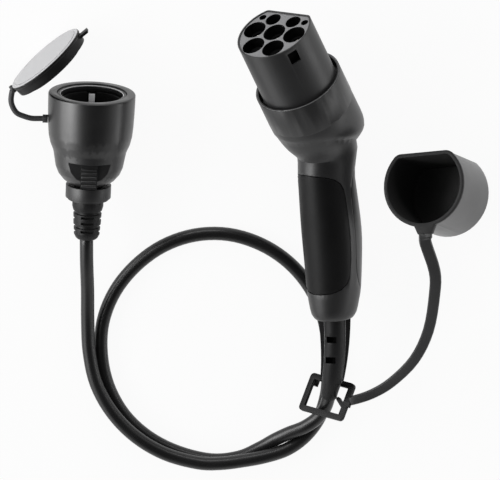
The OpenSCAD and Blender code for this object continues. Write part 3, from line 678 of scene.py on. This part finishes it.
class ADAPTER_OT_coupler(bpy.types.Operator):
    """Finishes the coupler's housing, mouth, insert, earth clips and contacts"""

    bl_idname = "adapter.coupler"
    bl_label = "Coupler"

    def execute(self, context):
        settings = context.scene.adapter_coupler
        shell = finish(
            "Coupler plastic", settings.housing_colour, lighter(settings.housing_colour, 1.6), (0.34, 0.44), coat=0.15
        )
        ring = finish("Mouth ring plastic", (0.012, 0.012, 0.0125), (0.02, 0.02, 0.021), (0.35, 0.45))
        # The insert's near black is its dark plastic, darkened further as painted shade deep in the well
        insert = finish("Insert plastic with well shade", (0.003, 0.003, 0.003), (0.005, 0.005, 0.005), (0.6, 0.7), specular=0.15)
        # The springs' near white, with little metal, is a painted glint on the steel
        spring = finish("Spring steel with painted glint", (0.93, 0.93, 0.94), (0.85, 0.85, 0.86), (0.3, 0.4), bump=0.05, metallic=0.2)
        finish_piece(refined("coupler_housing", "coupler_shell", 0.0005), shell, ["coupler_housing"])
        lip = finish_piece(refined("mouth_ring", "mouth_lip", 0.0005), ring, ["mouth_ring"])
        # Only the broken inner edge of the ring is painted pale, as a painted highlight
        forward = turned((0, 0, 1), COUPLER_TURN)
        edge_highlight = finish("Inner edge painted highlight", (0.62, 0.62, 0.63), (0.7, 0.7, 0.7), (0.25, 0.35))

        def inner_edge(face):
            off = off_from(face, COUPLER_AT)
            inward = (off - forward * off.dot(forward)).dot(face.normal) < 0
            return inward and 0.2 < face.normal.dot(forward) < 0.97

        paint_faces(lip, edge_highlight, inner_edge)
        finish_piece(refined("socket_insert", "socket_block", 0.0004), insert, ["socket_insert"])
        finish_piece(refined("earth_bracket", "earth_spring", 0.0002), spring, ["earth_bracket"])
        finish_piece(refined("latch_tongue", "latch_bar", 0.0002), shell, ["latch_tongue"])
        for node in ("socket_contact_left", "socket_contact_right"):
            finish_piece(refined(node, node + "_sleeve", 0.0002), plated_finish(), [node])
        return {"FINISHED"}


class ADAPTER_OT_lid(bpy.types.Operator):
    """Finishes the lid with its seal and lays the round strap that it hangs on"""

    bl_idname = "adapter.lid"
    bl_label = "Lid"

    def execute(self, context):
        settings = context.scene.adapter_coupler
        pale = finish("Lid plastic", settings.lid_colour, lighter(settings.lid_colour, 1.1), (0.35, 0.45))
        dark = finish("Lid skirt plastic", (0.005, 0.005, 0.0052), (0.008, 0.008, 0.0083), (0.4, 0.5), specular=0.16)
        lid = finish_piece(refined("lid", "lid_disc", 0.0004), dark, ["lid"])
        outward = turned((0, 0, 1), LID_TURN)

        def on_top(face):
            return face.normal.dot(outward) > 0.8 and off_from(face, LID_AT).dot(outward) > -0.8

        paint_faces(lid, pale, on_top)
        seal = rubber_finish("Seal rubber", (0.008, 0.008, 0.008))
        finish_piece(refined("lid_gasket", "lid_seal", 0.0002), seal, ["lid_gasket"])
        strap = rubber_finish("Lid strap rubber", (0.02, 0.02, 0.021))
        tether = refined("lid_strap", "lid_tether", 0.0002, dissolve=0.0, smooth=50)
        finish_piece(tether, strap, ["lid_strap"])
        return {"FINISHED"}


def strap_root():
    """The block that the flat strap is moulded to, under the cap's lug."""
    bpy.ops.object.select_all(action="DESELECT")
    bpy.ops.mesh.primitive_cube_add(
        size=1.0, location=placed(CAP_AT + turned(CAP_LUG_AT, CAP_TURN)), rotation=radians(CAP_TURN),
        scale=(0.0094, 0.0042, 0.0032),
    )
    root = context_piece("strap_root")
    baked(root)
    bevel = root.modifiers.new("Broken edges", "BEVEL")
    bevel.width = 0.0006
    bevel.segments = 3
    bpy.ops.object.modifier_apply(modifier=bevel.name)
    bpy.ops.object.shade_smooth_by_angle(angle=math.radians(40))
    return root


class ADAPTER_OT_nose_cap(bpy.types.Operator):
    """Finishes the nose cap, its flat strap and the clip on the cable"""

    bl_idname = "adapter.nose_cap"
    bl_label = "Nose cap"

    def execute(self, context):
        settings = context.scene.adapter_cap
        rubber = rubber_finish("Cap rubber", settings.cap_colour, (0.32, 0.4))
        strap = rubber_finish("Strap rubber", settings.strap_colour, (0.38, 0.48))
        inside = rubber_finish("Cap inside painted shade", (0.006, 0.006, 0.006), (0.6, 0.7))
        rim = rubber_finish("Cap rim", (0.009, 0.009, 0.0093), (0.4, 0.5), specular=0.15)
        clip = rubber_finish("Clip rubber", (0.006, 0.006, 0.0063), (0.4, 0.5), specular=0.12)

        cap = refined("nose_cap", "nose_cover", 0.0004, dissolve=0.0, smooth=40)
        finish_piece(cap, rubber, ["nose_cap"])
        opening = turned((0, 0, 1), CAP_TURN)

        def inner(face):
            off = off_from(face, CAP_AT)
            depth = off.dot(opening)
            wall = depth < -0.4 and face.normal.dot(off - opening * depth) < 0
            floor = CAP_FLOOR[0] < depth < CAP_FLOOR[1] and face.normal.dot(opening) > 0.8
            return wall or floor

        def on_rim(face):
            return off_from(face, CAP_AT).dot(opening) > -CAP_RIM_DEPTH and not inner(face)

        # Painted shade: the walls and floor inside the cap are given a near black
        paint_faces(cap, inside, inner)
        paint_faces(cap, rim, on_rim)

        tether = refined("cap_strap", "cap_tether", 0.0004, dissolve=0.0, smooth=50)
        finish_piece(tether, strap, ["cap_strap"])
        finish_piece(strap_root(), strap, ["cap_strap"])
        across = turned((1, 0, 0), CLIP_TURN)

        def on_clip(face):
            off = off_from(face, CLIP_AT)
            return off.dot(across) < CLIP_EDGE and off.length < CLIP_REACH

        paint_faces(tether, clip, on_clip)
        return {"FINISHED"}


class ADAPTER_OT_inner_parts(bpy.types.Operator):
    """Gives the sealed inner pieces their finishes"""

    bl_idname = "adapter.inner_parts"
    bl_label = "Inner parts"

    def execute(self, context):
        black = finish("Inner plastic", (0.012, 0.012, 0.012), (0.02, 0.02, 0.02), (0.5, 0.6))
        steel = metal_finish("Screw steel", (0.6, 0.6, 0.61), (0.3, 0.4))
        glaze = finish("Resistor glaze", (0.45, 0.32, 0.15), (0.5, 0.38, 0.2), (0.25, 0.35), coat=0.4)
        cores = rubber_finish("Core sheath", (0.02, 0.02, 0.02))
        for node, material in (
            ("contact_retainer", black), ("nose_seal", cores), ("coding_resistor", glaze), ("gun_cable_end", cores),
            ("cable_clamp", black), ("clamp_screws", steel), ("coupler_cable_end", cores), ("coupler_clamp", black),
        ):
            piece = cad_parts[node]
            for slot in piece.material_slots:
                slot.material = material
        return {"FINISHED"}


def floor_material():
    """Pale floor, white to the camera and to mirrored rays, that still takes a soft shadow."""
    material = bpy.data.materials.new("Pale floor")
    material.use_nodes = True
    tree = material.node_tree
    shader = tree.nodes["Principled BSDF"]
    shader.inputs["Base Color"].default_value = (0.93, 0.93, 0.93, 1)
    shader.inputs["Roughness"].default_value = 0.9
    shader.inputs["Specular IOR Level"].default_value = 0.1
    glow = tree.nodes.new("ShaderNodeEmission")
    blend = tree.nodes.new("ShaderNodeMixShader")
    rays = tree.nodes.new("ShaderNodeLightPath")
    either = math_node(tree, "MAXIMUM")
    share = math_node(tree, "MULTIPLY", 0.93)
    joined(tree, rays.outputs["Is Camera Ray"], either.inputs[0])
    joined(tree, rays.outputs["Is Glossy Ray"], either.inputs[1])
    joined(tree, either.outputs["Value"], share.inputs[0])
    joined(tree, share.outputs["Value"], blend.inputs["Fac"])
    joined(tree, shader.outputs["BSDF"], blend.inputs[1])
    joined(tree, glow.outputs["Emission"], blend.inputs[2])
    joined(tree, blend.outputs["Shader"], tree.nodes["Material Output"].inputs["Surface"])
    return material


def mirrored_studio(tree):
    """What mirrored rays find: a darker ceiling, white surroundings and two panels, as a strength."""
    way = tree.nodes.new("ShaderNodeTexCoord")
    parts = tree.nodes.new("ShaderNodeSeparateXYZ")
    joined(tree, way.outputs["Generated"], parts.inputs["Vector"])
    ceiling = range_node(tree, 0.25, 0.85, 1.0, 0.06, smooth=True)
    # A tall panel on the left and a narrow one low on the right
    left = range_node(tree, -0.8, -0.42, 1.3, 0.0, smooth=True)
    right = range_node(tree, 0.95, 1.0, 0.0, 2.0, smooth=True)
    both = math_node(tree, "ADD")
    total = math_node(tree, "ADD")
    joined(tree, parts.outputs["Z"], ceiling.inputs["Value"])
    joined(tree, parts.outputs["X"], left.inputs["Value"])
    joined(tree, parts.outputs["X"], right.inputs["Value"])
    joined(tree, left.outputs["Result"], both.inputs[0])
    joined(tree, right.outputs["Result"], both.inputs[1])
    joined(tree, both.outputs["Value"], total.inputs[0])
    joined(tree, ceiling.outputs["Result"], total.inputs[1])
    return total.outputs["Value"]


def surroundings():
    """White to the camera, a studio to mirrored rays, and dim to all others."""
    world = bpy.data.worlds.new("Surroundings")
    world.use_nodes = True
    tree = world.node_tree
    background = tree.nodes["Background"]
    background.inputs["Color"].default_value = (1, 1, 1, 1)
    rays = tree.nodes.new("ShaderNodeLightPath")
    seen = math_node(tree, "MAXIMUM")
    direct_or_bent = math_node(tree, "MAXIMUM")
    level = mix_node(tree, "FLOAT")
    level.inputs["A"].default_value = 0.4
    shown = mix_node(tree, "FLOAT")
    shown.inputs["B"].default_value = 1.0
    joined(tree, rays.outputs["Is Camera Ray"], seen.inputs[0])
    joined(tree, rays.outputs["Is Glossy Ray"], seen.inputs[1])
    joined(tree, seen.outputs["Value"], direct_or_bent.inputs[0])
    joined(tree, rays.outputs["Is Transmission Ray"], direct_or_bent.inputs[1])
    joined(tree, rays.outputs["Is Camera Ray"], shown.inputs["Factor"])
    joined(tree, mirrored_studio(tree), shown.inputs["A"])
    joined(tree, shown.outputs["Result"], level.inputs["B"])
    joined(tree, direct_or_bent.outputs["Value"], level.inputs["Factor"])
    joined(tree, level.outputs["Result"], background.inputs["Strength"])
    return world


# Name, place in metres, turn in degrees, size in metres, watts, and whether mirrored rays alone find the lamp
LAMPS = (
    ("Soft lamp left", (-1.5, 0.3, 1.0), (0.0, -56.0, 0.0), (0.5, 1.8), 15.0, False),
    ("Soft lamp right", (1.6, 0.0, 0.3), (0.0, 79.0, 0.0), (0.3, 1.8), 5.0, False),
    ("Strip lamp far", (0.0, 1.7, 0.7), (-68.0, 0.0, 0.0), (2.0, 0.2), 9.0, False),
    ("Coupler panel", (-0.4, 0.1, 0.2), (0.0, -62.0, 0.0), (0.3, 0.5), 1.3, True),
)


class ADAPTER_OT_stage(bpy.types.Operator):
    """Adds the pale floor, the soft lamps and the white surroundings"""

    bl_idname = "adapter.stage"
    bl_label = "Stage"

    def execute(self, context):
        context.scene.view_settings.view_transform = "Standard"
        bpy.ops.mesh.primitive_plane_add(size=8.0, location=(0, 0, -0.0002))
        floor = context_piece("Floor")
        floor.data.materials.append(floor_material())
        context.scene.world = surroundings()
        for name, place, turn, size, power, mirrored_only in LAMPS:
            bpy.ops.object.light_add(type="AREA", location=place, rotation=radians(turn))
            lamp = context_piece(name)
            lamp.data.shape = "RECTANGLE"
            lamp.data.size, lamp.data.size_y = size
            lamp.data.energy = power
            lamp.visible_diffuse = not mirrored_only
        return {"FINISHED"}


class ADAPTER_PT_panel(bpy.types.Panel):
    """Steps that make the charging adapter"""

    bl_label = "Charging adapter"
    bl_idname = "ADAPTER_PT_panel"
    bl_space_type = "VIEW_3D"
    bl_region_type = "UI"
    bl_category = "Adapter"

    def draw(self, context):
        scene = context.scene
        for title, settings, operators in (
            ("Cable", scene.adapter_cable, (ADAPTER_OT_cable,)),
            (
                "Connector", scene.adapter_connector,
                (ADAPTER_OT_connector, ADAPTER_OT_strain_relief, ADAPTER_OT_inner_parts),
            ),
            ("Coupler", scene.adapter_coupler, (ADAPTER_OT_coupler, ADAPTER_OT_lid)),
            ("Nose cap", scene.adapter_cap, (ADAPTER_OT_nose_cap,)),
            ("Stage", scene.adapter_stage, (ADAPTER_OT_camera, ADAPTER_OT_stage)),
        ):
            box = self.layout.box()
            box.label(text=title)
            for name in settings.bl_rna.properties.keys():
                if name not in {"rna_type", "name"}:
                    box.prop(settings, name)
            for operator in operators:
                box.operator(operator.bl_idname)


SETTINGS = {
    "adapter_cable": CableSettings,
    "adapter_connector": ConnectorSettings,
    "adapter_coupler": CouplerSettings,
    "adapter_cap": CapSettings,
    "adapter_stage": StageSettings,
}
OPERATORS = (
    ADAPTER_OT_camera,
    ADAPTER_OT_cable,
    ADAPTER_OT_connector,
    ADAPTER_OT_strain_relief,
    ADAPTER_OT_coupler,
    ADAPTER_OT_lid,
    ADAPTER_OT_nose_cap,
    ADAPTER_OT_inner_parts,
    ADAPTER_OT_stage,
)


def register():
    """Registers the settings, the operators and the panel."""
    for name, group in SETTINGS.items():
        bpy.utils.register_class(group)
        setattr(bpy.types.Scene, name, bpy.props.PointerProperty(type=group))
    for operator in OPERATORS:
        bpy.utils.register_class(operator)
    bpy.utils.register_class(ADAPTER_PT_panel)


def unregister():
    """Takes them off again, in the opposite order."""
    bpy.utils.unregister_class(ADAPTER_PT_panel)
    for operator in reversed(OPERATORS):
        bpy.utils.unregister_class(operator)
    for name, group in SETTINGS.items():
        delattr(bpy.types.Scene, name)
        bpy.utils.unregister_class(group)


def main():
    """Makes every piece and the stage."""
    register()
    bpy.ops.adapter.camera()
    bpy.ops.adapter.cable()
    bpy.ops.adapter.connector()
    bpy.ops.adapter.strain_relief()
    bpy.ops.adapter.coupler()
    bpy.ops.adapter.lid()
    bpy.ops.adapter.nose_cap()
    bpy.ops.adapter.inner_parts()
    bpy.ops.adapter.stage()


if __name__ == "__main__":
    main()
